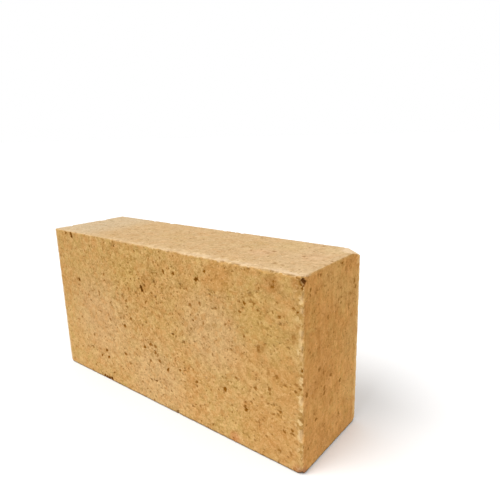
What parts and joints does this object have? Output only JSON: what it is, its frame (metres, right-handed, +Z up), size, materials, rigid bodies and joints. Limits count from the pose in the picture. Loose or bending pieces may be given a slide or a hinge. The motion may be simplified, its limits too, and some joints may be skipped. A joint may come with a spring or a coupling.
{
  "type": "refractory firebrick",
  "caption": "Standard square fireclay firebrick: a solid pressed and fired block with flat faces for lining kilns, furnaces and fireplaces.",
  "frame": {"origin": "middle of the long narrow face that the brick stands on, at floor level", "axes": "+X along the length towards the end with the knocked corner, +Y through the thickness towards the back large face, +Z up across the brick's width; the front large face looks along -Y"},
  "size_m": [0.23, 0.065, 0.115],
  "materials": {
    "fireclay": "matte"
  },
  "bodies": {
    "root": {"firebrick": "fireclay"}
  },
  "joints": []
}
